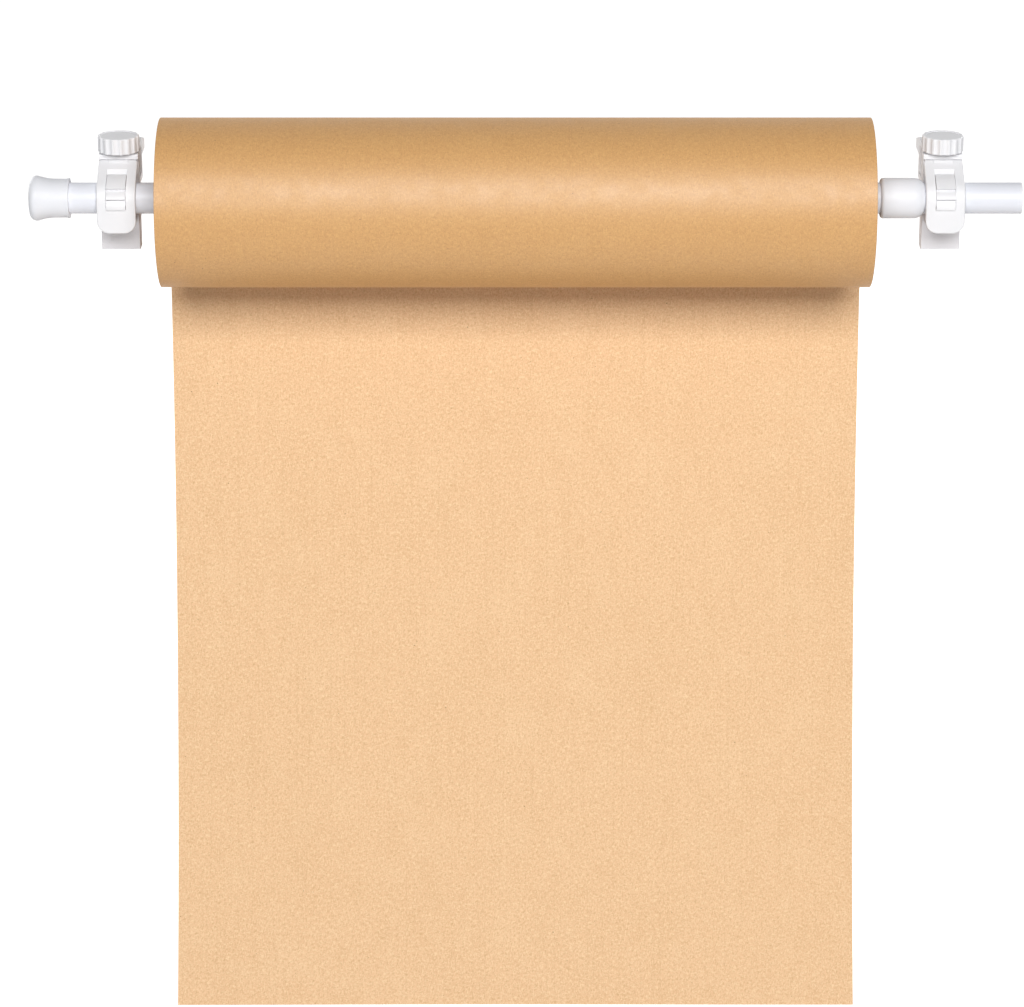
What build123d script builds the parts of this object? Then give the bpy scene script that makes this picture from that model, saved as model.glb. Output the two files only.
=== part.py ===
from build123d import *
from math import asin, cos, degrees, radians, sin
import os

os.makedirs("parts", exist_ok=True)

# Frame: the origin is on the left clamp's middle plane, at the table's top front edge.
# X runs along the rod to the right, Y goes in over the table, Z is up.

# Paper
roll_length = 454.0
roll_diameter = 108.5
core_bore = 26.0
core_wall = 3.5
core_clearance = 0.1
paper_thickness = 0.3
sheet_drop = 540.0
sheet_curl = 120.0
sheet_clearance = 0.15

# Rod
outer_tube_diameter = 20.0
tube_wall = 0.6
telescope_clearance = 0.1
tube_overlap = 140.0
foot_gap = 18.1
foot_length = 25.4
foot_diameter = 25.0
foot_flare_diameter = 29.0
foot_flare_length = 17.0
foot_nose = 5.2
foot_rim = 0.35
foot_rim_length = 1.4
foot_round = 4.4
foot_end_wall = 5.0
right_overhang = 36.9
sleeve_gap = 0.4
plug_flange = 1.6
plug_depth = 12.0

# Lock collar on the rod
collar_gap = 6.2
collar_length = 28.0
collar_wall = 1.5
collar_end_wall = 2.6
collar_dome = 7.0
collar_edge = 2.2
bush_length = 11.0
bush_wall = 1.4
bush_overhang = 2.0
grip_length = 7.5
grip_split = 1.2

# Where the table and the roll are
table_thickness = 35.0
rod_drop = 12.0
roll_gap = 15.3
edge_gap = 2.25

# Clamp column and head
clamp_width = 25.0
clamp_gap = 0.5
saddle_wall = 1.7
column_depth = 12.0
column_wall = 2.5
column_back_wall = 2.0
column_margin = 4.6
column_corner = 0.6
head_bottom = 13.0
deck_thickness = 3.4
deck_round = 1.1
arm_width = 22.0
arm_reach = 22.0
arm_tip_thickness = 5.0
arm_tip_round = 4.0
web_drop = 13.0
corner_relief = 1.2
web_rim = 4.0
web_pocket_depth = 7.5
web_pocket_round = 2.0
tenon_width = 4.6
tenon_drop = 6.0

# Jaws and pads
pad_thickness = 2.8
pad_recess = 0.8
pad_width = 13.0
pad_margin = 2.0
jaw_width = 16.0
jaw_thickness = 7.8
jaw_tip_thickness = 5.4
jaw_gusset = 3.6
gusset_length = 20.0
jaw_up = 20.0
jaw_down = 2.4
carriage_height = 16.5
neck_width = 12.0
slide_clearance = 0.15

# Clamp screw and knob
screw_diameter = 6.0
screw_clearance = 0.3
pivot_diameter = 4.0
pivot_length = 2.6
bearing_height = 3.0
nut_height = 6.0
nut_width = 10.0
nut_wall = 0.4
washer_diameter = 15.0
washer_thickness = 1.3
knob_diameter = 26.7
knob_height = 10.1
knob_roof = 2.4
knob_round = 0.9
knob_rim = 2.6
knob_dish = 0.4
knob_flutes = 16
flute_radius = 3.4
flute_depth = 0.8

# Gate, its hinge and the lock slider, with angles round the rod from the table's side over the top
gate_thickness = 3.0
gate_clearance = 0.3
gate_slope = 30.0
gate_reach = 19.9
gate_drop = 20.0
gate_corner = 8.0
gate_edge = 0.9
lug_width = 12.6
pin_diameter = 2.5
running_clearance = 0.05
slot_width = 12.9
slot_top_angle = 75.8
slot_bottom_angle = 198.5
lock_bottom_gap = 2.5
lock_travel = 8.0
lock_end_gap = 0.8
lock_side_gap = 0.35
lock_steps = 3
lip_pitch = 27.3
lip_rise = 1.9
step_drop = 0.9
step_crown = 1.0
tongue_width = 1.2
tongue_thickness = 1.0
tongue_margin = 8.0
shoe_width = 9.0
shoe_depth = 1.1
shoe_margin = 12.0

# Saddle and fasteners
saddle_width = 21.0
saddle_top = 7.0
saddle_lip = 8.0
saddle_floor = 8.5
saddle_mouth = 6.0
saddle_grip = 6.0
saddle_spread = 12.0
seat_clearance = 0.05
fastener_diameter = 3.0
fastener_head_diameter = 5.0
fastener_head_height = 2.0
fastener_head_round = 0.65
fastener_clearance = 0.2
fastener_recess_length = 2.8
fastener_recess_width = 0.7
fastener_recess_depth = 1.0

# Radii
roll_radius = roll_diameter / 2
core_radius = core_bore / 2
outer_radius = outer_tube_diameter / 2
inner_radius = outer_radius - tube_wall - telescope_clearance
foot_radius = foot_diameter / 2
flare_radius = foot_flare_diameter / 2
bush_radius = outer_radius + bush_wall
collar_cavity_radius = bush_radius + telescope_clearance
collar_radius = collar_cavity_radius + collar_wall
seat_radius = outer_radius + seat_clearance
screw_radius = screw_diameter / 2
pin_radius = pin_diameter / 2
fastener_radius = fastener_diameter / 2
fastener_head_radius = fastener_head_diameter / 2

# Places along the rod
roll_start = clamp_width / 2 + roll_gap
roll_end = roll_start + roll_length
roll_middle = (roll_start + roll_end) / 2
collar_start = roll_end + collar_gap
collar_end = collar_start + collar_length
bush_start = collar_start + collar_end_wall + gate_clearance
bush_end = bush_start + bush_length
grip_start = bush_end + gate_clearance
grip_end = grip_start + grip_length
clamp_spacing = collar_end + clamp_gap + clamp_width / 2
foot_end = -clamp_width / 2 - foot_gap
foot_start = foot_end - foot_length
outer_start = foot_start + foot_end_wall
outer_end = bush_end - bush_overhang
inner_start = outer_end - tube_overlap
sleeve_start = collar_end + sleeve_gap
rod_end = clamp_spacing + clamp_width / 2 + right_overhang

# The rod's axis in the frame, and how far the roll hangs below it
rod_y = -(roll_radius + edge_gap)
rod_z = -rod_drop
roll_sag = core_radius - outer_radius - core_clearance

# Heights and depths measured from the rod's axis
table_top = rod_drop
table_bottom = table_top - table_thickness
edge_depth = roll_radius + edge_gap
column_front = outer_radius + saddle_wall
column_back = column_front + column_depth
cavity_front = column_front + column_wall
cavity_back = column_back - column_back_wall
cavity_half = clamp_width / 2 - column_wall
cavity_depth = cavity_back - cavity_front
screw_depth = (cavity_front + cavity_back) / 2
jaw_top = table_bottom - pad_thickness + pad_recess
jaw_bottom = jaw_top - jaw_thickness
column_bottom = jaw_bottom - column_margin
bearing_top = column_bottom + bearing_height
carriage_bottom = bearing_top + jaw_down + slide_clearance
carriage_top = carriage_bottom + carriage_height
neck_top = jaw_top + jaw_gusset
neck_slot_top = neck_top + jaw_up + slide_clearance
web_bottom = table_top - web_drop
arm_bottom = table_top + pad_thickness - pad_recess
arm_end = edge_depth + arm_reach
pad_length = arm_reach - pad_margin
tenon_middle = cavity_half - slide_clearance - tenon_width / 2
head_fastener_height = head_bottom - tenon_drop / 2
saddle_bottom = -(seat_radius + saddle_floor)
saddle_fastener_height = saddle_bottom + saddle_floor / 2

# Gate: a nose round the rod, a slope tangent to it up to the hinge, and a flat apron below
gate_inner = outer_radius + gate_clearance
gate_outer = gate_inner + gate_thickness
nose_top_angle = 90 + gate_slope
slope_up = Vector(cos(radians(gate_slope)), sin(radians(gate_slope)))
slope_out = Vector(-sin(radians(gate_slope)), cos(radians(gate_slope)))
knuckle_radius = gate_thickness
recess_radius = knuckle_radius + gate_clearance
hinge_point = slope_out * gate_inner + slope_up * gate_reach
deck_bottom = hinge_point.Y + recess_radius
deck_front = hinge_point.X + 2 * gate_clearance
head_top = deck_bottom + deck_thickness
knob_bottom = head_top + washer_thickness
knob_top = knob_bottom + knob_height
lug_half = lug_width / 2

# Lock slider: it fills the slot but for its travel, and two tongues hold it in the gate's grooves
lock_top_angle = slot_top_angle + lock_travel + lock_end_gap
lock_bottom_angle = slot_bottom_angle - lock_bottom_gap
lock_half = slot_width / 2 - lock_side_gap
tongue_inner = gate_inner + (gate_thickness - tongue_thickness) / 2
tongue_outer = tongue_inner + tongue_thickness
tongue_top_angle = nose_top_angle + tongue_margin
tongue_bottom_angle = lock_bottom_angle - tongue_margin
shoe_outer = gate_inner + shoe_depth


def profile_plane(x):
    """Plane across the rod at x, with the rod's axis as its origin, Y to the right and Z up."""
    return Plane(origin=(x, rod_y, rod_z), x_dir=(0, 1, 0), z_dir=(1, 0, 0))


def level_plane(x, height):
    """Level plane at a height above the rod's axis, with the axis as its origin at x."""
    return Plane(origin=(x, rod_y, rod_z + height))


def front_plane(x, depth):
    """Upright plane at a depth behind the rod's axis, facing the front."""
    return Plane(origin=(x, rod_y + depth, rod_z), x_dir=(1, 0, 0), z_dir=(0, -1, 0))


length_plane = front_plane(0, 0)
rod_axis = Axis((0, rod_y, rod_z), (1, 0, 0))


def save(piece, name):
    """Label a finished piece and write it."""
    piece.part.label = name
    export_step(piece.part, f"parts/{name}.step")


def ring_point(radius, angle):
    """Point round the rod's axis in a profile plane."""
    return (radius * cos(radians(angle)), radius * sin(radians(angle)))


def ring_arc(radius, start, end):
    """Arc round the rod's axis, for the line that calls it."""
    middle = (start + end) / 2
    return ThreePointArc(ring_point(radius, start), ring_point(radius, middle), ring_point(radius, end))


def ring_sector(inner, outer, start, end):
    """Face between two radii and two angles round the rod's axis, for the sketch that calls it."""
    with BuildLine() as outline:
        Line(ring_point(inner, start), ring_point(outer, start))
        ring_arc(outer, start, end)
        Line(ring_point(outer, end), ring_point(inner, end))
        ring_arc(inner, end, start)
    make_face(outline.edges())


def gate_surface(angle):
    """Radius of the gate's outer face at an angle round the rod: the nose, or the slope above it."""
    return gate_outer / cos(radians(max(0.0, nose_top_angle - angle)))


def tube(name, x_start, x_end, radius, wall):
    """Round tube along the rod."""
    with BuildPart() as piece:
        with BuildSketch(profile_plane(x_start)):
            Circle(radius)
            Circle(radius - wall, mode=Mode.SUBTRACT)
        extrude(amount=x_end - x_start)
    save(piece, name)


def clamp_head(side, x):
    """White moulding: cap over the column, hinge lug, web with the edge stop, and upper jaw arm."""
    with BuildPart() as head:
        with BuildSketch(profile_plane(x)):
            with BuildLine():
                Polyline(
                    (column_front, head_bottom),
                    (column_front, hinge_point.Y),
                    (deck_front, hinge_point.Y),
                    (deck_front, head_top),
                    (column_back, head_top),
                    (column_back, head_bottom),
                    close=True,
                )
            make_face()
        extrude(amount=clamp_width / 2, both=True)
        fillet(head.edges().filter_by(Axis.X).group_by(Axis.Z)[-1], deck_round)
        with BuildSketch(profile_plane(x)):
            with BuildLine():
                Polyline(
                    (column_back, web_bottom),
                    (edge_depth, web_bottom),
                    (edge_depth, table_top),
                    (edge_depth - corner_relief, table_top),
                    (edge_depth - corner_relief, arm_bottom),
                    (arm_end, arm_bottom),
                    (arm_end, arm_bottom + arm_tip_thickness),
                    (edge_depth, head_top),
                    (column_back - deck_round, head_top),
                    (column_back - deck_round, head_bottom),
                    (column_back, head_bottom),
                    close=True,
                )
            make_face()
        extrude(amount=arm_width / 2, both=True)
        fillet(head.edges().filter_by(Axis.Z).group_by(Axis.Y)[-1], arm_tip_round)
        for face_side in (-1, 1):
            with BuildSketch(profile_plane(x + face_side * arm_width / 2)):
                with BuildLine():
                    Polyline(
                        (column_back + web_rim, web_bottom + web_rim),
                        (edge_depth - web_rim, web_bottom + web_rim),
                        (edge_depth - web_rim, head_top - web_rim),
                        (column_back + web_rim, head_top - web_rim),
                        close=True,
                    )
                pocket = make_face()
                fillet(pocket.vertices(), web_pocket_round)
            extrude(amount=-face_side * web_pocket_depth, mode=Mode.SUBTRACT)
        # Tenons that reach down into the column
        with BuildSketch(level_plane(x, head_bottom)):
            with Locations((-tenon_middle, screw_depth), (tenon_middle, screw_depth)):
                Rectangle(tenon_width, cavity_depth - 2 * slide_clearance)
        extrude(amount=-tenon_drop)
        # Recesses for the gate's two knuckles, the lug between them, and its pin hole
        with BuildSketch(profile_plane(x)):
            with Locations(hinge_point):
                Circle(recess_radius)
        extrude(amount=clamp_width, both=True, mode=Mode.SUBTRACT)
        with BuildSketch(profile_plane(x)):
            with Locations(hinge_point):
                Circle(knuckle_radius)
            with Locations(hinge_point + Vector(recess_radius / 2, 0)):
                Rectangle(recess_radius, 2 * knuckle_radius)
        extrude(amount=lug_half, both=True)
        with BuildSketch(profile_plane(x)):
            with Locations(hinge_point):
                Circle(pin_radius)
        extrude(amount=clamp_width, both=True, mode=Mode.SUBTRACT)
        # Screw hole, pad seat and pilot holes for the column's screws
        with BuildSketch(level_plane(x, head_top)):
            with Locations((0, screw_depth)):
                Circle(screw_radius + screw_clearance)
        extrude(amount=head_bottom - head_top, mode=Mode.SUBTRACT)
        with BuildSketch(level_plane(x, arm_bottom)):
            with Locations((0, edge_depth + pad_length / 2)):
                Rectangle(pad_width, pad_length)
        extrude(amount=pad_recess, mode=Mode.SUBTRACT)
        with BuildSketch(front_plane(x, cavity_front)):
            with Locations((-tenon_middle, head_fastener_height), (tenon_middle, head_fastener_height)):
                Circle(fastener_radius)
        extrude(amount=-cavity_depth, mode=Mode.SUBTRACT)
    save(head, f"{side}_clamp_head")


def clamp_column(side, x):
    """Light grey column: a box section with a slot up its back for the lower jaw's neck."""
    with BuildPart() as column:
        with BuildSketch(level_plane(x, column_bottom)):
            with Locations((0, (column_front + column_back) / 2)):
                RectangleRounded(clamp_width, column_depth, column_corner)
            with Locations((0, screw_depth)):
                Rectangle(2 * cavity_half, cavity_depth, mode=Mode.SUBTRACT)
        extrude(amount=head_bottom - column_bottom)
        with BuildSketch(level_plane(x, column_bottom)):
            with Locations((0, column_back - column_back_wall / 2)):
                Rectangle(neck_width + 2 * slide_clearance, column_back_wall)
        extrude(amount=neck_slot_top - column_bottom, mode=Mode.SUBTRACT)
        with BuildSketch(front_plane(x, column_front)):
            with Locations((-tenon_middle, head_fastener_height), (tenon_middle, head_fastener_height)):
                Circle(fastener_radius)
            with Locations((0, saddle_fastener_height)):
                with GridLocations(saddle_spread, 1, 2, 1):
                    Circle(fastener_radius)
        extrude(amount=-column_wall, mode=Mode.SUBTRACT)
    save(column, f"{side}_column")


def fastener_group(name, x, head_depth, height, spread, tip_depth):
    """Pair of pan-head screws that point back from a head's seat to a tip depth."""
    with BuildPart() as group:
        with BuildSketch(front_plane(x, head_depth)):
            with Locations((-spread / 2, height), (spread / 2, height)):
                Circle(fastener_head_radius)
        extrude(amount=fastener_head_height)
        fillet(group.edges().filter_by(GeomType.CIRCLE).group_by(Axis.Y)[0], fastener_head_round)
        with BuildSketch(front_plane(x, head_depth)):
            with Locations((-spread / 2, height), (spread / 2, height)):
                Circle(fastener_radius)
        extrude(amount=head_depth - tip_depth)
        with BuildSketch(front_plane(x, head_depth - fastener_head_height)):
            with Locations((-spread / 2, height), (spread / 2, height)):
                Rectangle(fastener_recess_length, fastener_recess_width)
                Rectangle(fastener_recess_width, fastener_recess_length)
        extrude(amount=-fastener_recess_depth, mode=Mode.SUBTRACT)
    save(group, name)


def rod_saddle(side, x):
    """White cradle on the column's front that the rod lies in."""
    with BuildPart() as saddle:
        with BuildSketch(profile_plane(x)):
            with BuildLine():
                Polyline(
                    (column_front, saddle_bottom),
                    (-saddle_lip, saddle_bottom),
                    (-saddle_lip, -saddle_mouth),
                    (0, -saddle_mouth),
                    (0, saddle_top),
                    (column_front, saddle_top),
                    close=True,
                )
            make_face()
            Circle(seat_radius, mode=Mode.SUBTRACT)
        extrude(amount=saddle_width / 2, both=True)
        with BuildSketch(front_plane(x, -saddle_lip)):
            with Locations((0, saddle_fastener_height)):
                with GridLocations(saddle_spread, 1, 2, 1):
                    Circle(fastener_head_radius + fastener_clearance)
        extrude(amount=-(column_front - saddle_grip + saddle_lip), mode=Mode.SUBTRACT)
        with BuildSketch(front_plane(x, column_front)):
            with Locations((0, saddle_fastener_height)):
                with GridLocations(saddle_spread, 1, 2, 1):
                    Circle(fastener_radius + fastener_clearance)
        extrude(amount=saddle_grip, mode=Mode.SUBTRACT)
    save(saddle, f"{side}_rod_saddle")


def jaw_pad(name, x, bottom, start_depth, length):
    """Rubber pad set into a jaw."""
    with BuildPart() as pad:
        with BuildSketch(level_plane(x, bottom)):
            with Locations((0, start_depth + length / 2)):
                Rectangle(pad_width, length)
        extrude(amount=pad_thickness)
    save(pad, name)


def lower_jaw(side, x):
    """Grey jaw: a carriage inside the column, a neck through its slot, and an arm under the table."""
    with BuildPart() as jaw:
        with BuildSketch(level_plane(x, carriage_bottom)):
            with Locations((0, screw_depth)):
                Rectangle(2 * (cavity_half - slide_clearance), cavity_depth - 2 * slide_clearance)
        extrude(amount=carriage_height)
        with BuildSketch(level_plane(x, carriage_bottom)):
            with Locations((0, cavity_back + column_back_wall / 2)):
                Rectangle(neck_width, column_back_wall + 2 * slide_clearance)
        extrude(amount=neck_top - carriage_bottom)
        with BuildSketch(profile_plane(x)):
            with BuildLine():
                Polyline(
                    (column_back + slide_clearance, jaw_bottom),
                    (arm_end, jaw_top - jaw_tip_thickness),
                    (arm_end, jaw_top),
                    (column_back + gusset_length, jaw_top),
                    (column_back + slide_clearance, neck_top),
                    close=True,
                )
            make_face()
        extrude(amount=jaw_width / 2, both=True)
        fillet(jaw.edges().filter_by(Axis.Z).group_by(Axis.Y)[-1], arm_tip_round)
        with BuildSketch(level_plane(x, jaw_top)):
            with Locations((0, edge_depth + pad_length / 2)):
                Rectangle(pad_width, pad_length)
        extrude(amount=-pad_recess, mode=Mode.SUBTRACT)
        with BuildSketch(level_plane(x, carriage_top)):
            with Locations((0, screw_depth)):
                Rectangle(nut_width, cavity_depth - 2 * slide_clearance - 2 * nut_wall)
        extrude(amount=-nut_height, mode=Mode.SUBTRACT)
        with BuildSketch(level_plane(x, carriage_top)):
            with Locations((0, screw_depth)):
                Circle(screw_radius + screw_clearance)
        extrude(amount=-carriage_height, mode=Mode.SUBTRACT)
    save(jaw, f"{side}_lower_jaw")


def jaw_nut(side, x):
    """Brass nut in the top of the carriage."""
    with BuildPart() as nut:
        with BuildSketch(level_plane(x, carriage_top - nut_height)):
            with Locations((0, screw_depth)):
                Rectangle(nut_width, cavity_depth - 2 * slide_clearance - 2 * nut_wall)
                Circle(screw_radius + running_clearance, mode=Mode.SUBTRACT)
        extrude(amount=nut_height)
    save(nut, f"{side}_jaw_nut")


def screw_bearing(side, x):
    """Plug in the column's foot that the screw's lower end turns in."""
    with BuildPart() as bearing:
        with BuildSketch(level_plane(x, column_bottom)):
            with Locations((0, screw_depth)):
                Rectangle(2 * cavity_half, cavity_depth)
                Circle(pivot_diameter / 2 + running_clearance, mode=Mode.SUBTRACT)
        extrude(amount=bearing_height)
    save(bearing, f"{side}_screw_bearing")


def clamp_screw(side, x):
    """Steel screw from the knob down to its bearing."""
    with BuildPart() as screw:
        with BuildSketch(level_plane(x, bearing_top + slide_clearance)):
            with Locations((0, screw_depth)):
                Circle(screw_radius)
        extrude(amount=knob_top - knob_roof - bearing_top - slide_clearance)
        with BuildSketch(level_plane(x, bearing_top + slide_clearance)):
            with Locations((0, screw_depth)):
                Circle(pivot_diameter / 2)
        extrude(amount=-pivot_length)
    save(screw, f"{side}_clamp_screw")


def thrust_washer(side, x):
    """Steel washer between the head's deck and the knob."""
    with BuildPart() as washer:
        with BuildSketch(level_plane(x, head_top)):
            with Locations((0, screw_depth)):
                Circle(washer_diameter / 2)
                Circle(screw_radius + screw_clearance, mode=Mode.SUBTRACT)
        extrude(amount=washer_thickness)
    save(washer, f"{side}_thrust_washer")


def clamp_knob(side, x):
    """Fluted white knob on the screw's top."""
    knob_radius = knob_diameter / 2
    with BuildPart() as knob:
        with BuildSketch(level_plane(x, knob_bottom)):
            with Locations((0, screw_depth)):
                Circle(knob_radius)
                with PolarLocations(knob_radius + flute_radius - flute_depth, knob_flutes):
                    Circle(flute_radius, mode=Mode.SUBTRACT)
        extrude(amount=knob_height)
        fillet(knob.edges().group_by(Axis.Z)[-1], knob_round)
        with BuildSketch(level_plane(x, knob_bottom)):
            with Locations((0, screw_depth)):
                Circle(screw_radius)
        extrude(amount=knob_height - knob_roof, mode=Mode.SUBTRACT)
        with BuildSketch(level_plane(x, knob_top)):
            with Locations((0, screw_depth)):
                Circle(knob_radius - knob_rim)
        extrude(amount=-knob_dish, mode=Mode.SUBTRACT)
    save(knob, f"{side}_knob")


def outer_edge(edge, x):
    """True for an edge of the gate that borders its outer face."""
    middle = edge @ 0.5
    spot = Vector(middle.Y - rod_y, middle.Z - rod_z)
    on_side = abs(abs(middle.X - x) - clamp_width / 2) < gate_clearance or spot.Y < gate_corner - gate_drop
    on_slope = spot.dot(slope_out) > gate_outer - gate_clearance
    on_nose = abs(spot.length - gate_outer) < gate_clearance
    on_apron = spot.X < gate_clearance - gate_outer
    return on_side and (on_slope or on_nose or on_apron)


def rod_gate(side, x):
    """White front gate: hinge knuckles, slope, nose round the rod, apron, and the lock's slot."""
    slope_foot = slope_out * gate_outer
    inner_foot = slope_out * gate_inner
    with BuildPart() as gate:
        with BuildSketch(profile_plane(x)):
            with BuildLine():
                Line(hinge_point, hinge_point + slope_out * gate_thickness)
                Line(hinge_point + slope_out * gate_thickness, slope_foot)
                ring_arc(gate_outer, nose_top_angle, 180)
                Line((-gate_outer, 0), (-gate_outer, -gate_drop))
                Line((-gate_outer, -gate_drop), (-gate_inner, -gate_drop))
                Line((-gate_inner, -gate_drop), (-gate_inner, 0))
                ring_arc(gate_inner, 180, nose_top_angle)
                Line(inner_foot, hinge_point)
            make_face()
        extrude(amount=clamp_width / 2, both=True)
        fillet(gate.edges().filter_by(Axis.Y).group_by(Axis.Z)[0], gate_corner)
        fillet(gate.edges().filter_by(lambda edge: outer_edge(edge, x)), gate_edge)
        with BuildSketch(profile_plane(x)):
            with Locations(hinge_point):
                Circle(knuckle_radius)
        extrude(amount=clamp_width / 2 - gate_edge, both=True)
        with BuildSketch(profile_plane(x)):
            with Locations(hinge_point):
                Circle(recess_radius)
        extrude(amount=lug_half + slide_clearance, both=True, mode=Mode.SUBTRACT)
        with BuildSketch(profile_plane(x)):
            with Locations(hinge_point):
                Circle(pin_radius + running_clearance)
        extrude(amount=clamp_width, both=True, mode=Mode.SUBTRACT)
        # Slot for the lock slider, and the grooves in its walls
        with BuildSketch(profile_plane(x)):
            ring_sector(outer_radius / 2, 2 * gate_outer, slot_top_angle, slot_bottom_angle)
        extrude(amount=slot_width / 2, both=True, mode=Mode.SUBTRACT)
        with BuildSketch(profile_plane(x)):
            ring_sector(
                tongue_inner - telescope_clearance,
                tongue_outer + telescope_clearance,
                tongue_top_angle - lock_travel - lock_end_gap,
                tongue_bottom_angle + lock_end_gap,
            )
        extrude(amount=slot_width / 2 + tongue_width, both=True, mode=Mode.SUBTRACT)
    save(gate, f"{side}_rod_gate")


def hinge_pin(side, x):
    """Steel pin that the gate swings on."""
    with BuildPart() as pin:
        with BuildSketch(profile_plane(x)):
            with Locations(hinge_point):
                Circle(pin_radius)
        extrude(amount=clamp_width / 2 - gate_edge, both=True)
    save(pin, f"{side}_hinge_pin")


def lock_slider(side, x):
    """Ribbed white slider: domed thumb steps outside, tongues at its sides, a pocket inside."""
    with BuildPart() as slider:
        with BuildSketch(profile_plane(x)):
            with BuildLine():
                start_angle = lock_top_angle
                Line(
                    ring_point(gate_inner, start_angle),
                    ring_point(gate_surface(start_angle) - step_drop, start_angle),
                )
                for step in range(lock_steps):
                    lip_angle = lock_bottom_angle - lip_pitch * (lock_steps - 1 - step)
                    middle = (start_angle + lip_angle) / 2
                    lip_radius = gate_surface(lip_angle) + lip_rise
                    ThreePointArc(
                        ring_point(gate_surface(start_angle) - step_drop, start_angle),
                        ring_point(gate_surface(middle) + step_crown, middle),
                        ring_point(lip_radius, lip_angle),
                    )
                    last_step = step == lock_steps - 1
                    lip_foot = gate_inner if last_step else gate_surface(lip_angle) - step_drop
                    Line(ring_point(lip_radius, lip_angle), ring_point(lip_foot, lip_angle))
                    start_angle = lip_angle
                ring_arc(gate_inner, lock_bottom_angle, lock_top_angle)
            make_face()
        extrude(amount=lock_half, both=True)
        with BuildSketch(profile_plane(x)):
            ring_sector(tongue_inner, tongue_outer, tongue_top_angle, tongue_bottom_angle)
        extrude(amount=lock_half + tongue_width, both=True)
        with BuildSketch(profile_plane(x)):
            ring_sector(
                gate_inner / 2,
                shoe_outer,
                nose_top_angle + shoe_margin,
                lock_bottom_angle - shoe_margin,
            )
        extrude(amount=shoe_width / 2, both=True, mode=Mode.SUBTRACT)
    save(slider, f"{side}_lock_slider")


def lock_shoe(side, x):
    """Rubber shoe in the slider's pocket, next to the rod."""
    with BuildPart() as shoe:
        with BuildSketch(profile_plane(x)):
            ring_sector(
                outer_radius + telescope_clearance,
                shoe_outer,
                nose_top_angle + shoe_margin,
                lock_bottom_angle - shoe_margin,
            )
        extrude(amount=shoe_width / 2, both=True)
    save(shoe, f"{side}_lock_shoe")


def table_clamp(side, x):
    """All the pieces of one clamp, at its place along the rod."""
    clamp_head(side, x)
    clamp_column(side, x)
    fastener_group(
        f"{side}_head_screws",
        x,
        column_front,
        head_fastener_height,
        2 * tenon_middle,
        cavity_back - column_back_wall,
    )
    rod_saddle(side, x)
    fastener_group(
        f"{side}_saddle_screws",
        x,
        column_front - saddle_grip,
        saddle_fastener_height,
        saddle_spread,
        cavity_front - fastener_clearance,
    )
    jaw_pad(f"{side}_upper_pad", x, table_top, edge_depth, pad_length)
    jaw_pad(f"{side}_lower_pad", x, jaw_top - pad_recess, edge_depth, pad_length)
    lower_jaw(side, x)
    jaw_nut(side, x)
    screw_bearing(side, x)
    clamp_screw(side, x)
    thrust_washer(side, x)
    clamp_knob(side, x)
    rod_gate(side, x)
    hinge_pin(side, x)
    lock_slider(side, x)
    lock_shoe(side, x)


table_clamp("left", 0)
table_clamp("right", clamp_spacing)

# Rod: the inner tube telescopes in the outer one, and a sleeve brings its end to the outer one's size
tube("outer_tube", outer_start, outer_end, outer_radius, tube_wall)
tube("inner_tube", inner_start, rod_end - plug_flange, inner_radius, tube_wall)
tube("end_sleeve", sleeve_start, rod_end - plug_flange, outer_radius, tube_wall)

with BuildPart() as rod_foot:
    with BuildSketch(length_plane):
        with BuildLine():
            TangentArc(
                (foot_start + foot_flare_length, foot_radius),
                (foot_start + foot_nose, flare_radius),
                tangent=(-1, 0),
            )
            Polyline(
                (foot_start + foot_nose, flare_radius),
                (foot_start, flare_radius),
                (foot_start, 0),
                (outer_start, 0),
                (outer_start, outer_radius + seat_clearance),
                (foot_end, outer_radius + seat_clearance),
                (foot_end, foot_radius + foot_rim),
                (foot_end - foot_rim_length, foot_radius + foot_rim),
                (foot_end - foot_rim_length, foot_radius),
                (foot_start + foot_flare_length, foot_radius),
            )
        make_face()
    revolve(axis=rod_axis)
    fillet(rod_foot.edges().filter_by(GeomType.CIRCLE).group_by(Axis.X)[0], foot_round)
save(rod_foot, "rod_foot")

with BuildPart() as end_plug:
    with BuildSketch(profile_plane(rod_end)):
        Circle(outer_radius)
    extrude(amount=-plug_flange)
    with BuildSketch(profile_plane(rod_end - plug_flange)):
        Circle(inner_radius - tube_wall)
    extrude(amount=-plug_depth)
save(end_plug, "end_plug")

# Lock collar, with the bush on the outer tube's end and the split ring that grips the inner tube
tube("lock_bush", bush_start, bush_end, bush_radius, bush_wall)

with BuildPart() as grip_ring:
    with BuildSketch(profile_plane(grip_start)):
        Circle(bush_radius - gate_clearance)
        Circle(inner_radius + running_clearance, mode=Mode.SUBTRACT)
        with Locations((0, outer_radius)):
            Rectangle(grip_split, outer_radius, mode=Mode.SUBTRACT)
    extrude(amount=grip_length)
save(grip_ring, "grip_ring")

with BuildPart() as lock_collar:
    with BuildSketch(length_plane):
        with BuildLine():
            cavity_end = grip_end + gate_clearance
            mouth_radius = inner_radius + gate_clearance
            Polyline(
                (collar_end - collar_dome, collar_radius),
                (collar_start, collar_radius),
                (collar_start, outer_radius + gate_clearance),
                (collar_start + collar_end_wall, outer_radius + gate_clearance),
                (collar_start + collar_end_wall, collar_cavity_radius),
                (cavity_end, collar_cavity_radius),
                (cavity_end, mouth_radius),
                (collar_end, mouth_radius),
                (collar_end, outer_radius),
            )
            TangentArc(
                (collar_end - collar_dome, collar_radius),
                (collar_end, outer_radius),
                tangent=(1, 0),
            )
        make_face()
    revolve(axis=rod_axis)
    first_edges = lock_collar.edges().filter_by(GeomType.CIRCLE).group_by(Axis.X)[0]
    fillet(first_edges.sort_by(SortBy.RADIUS)[-1], collar_edge)
save(lock_collar, "lock_collar")

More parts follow.
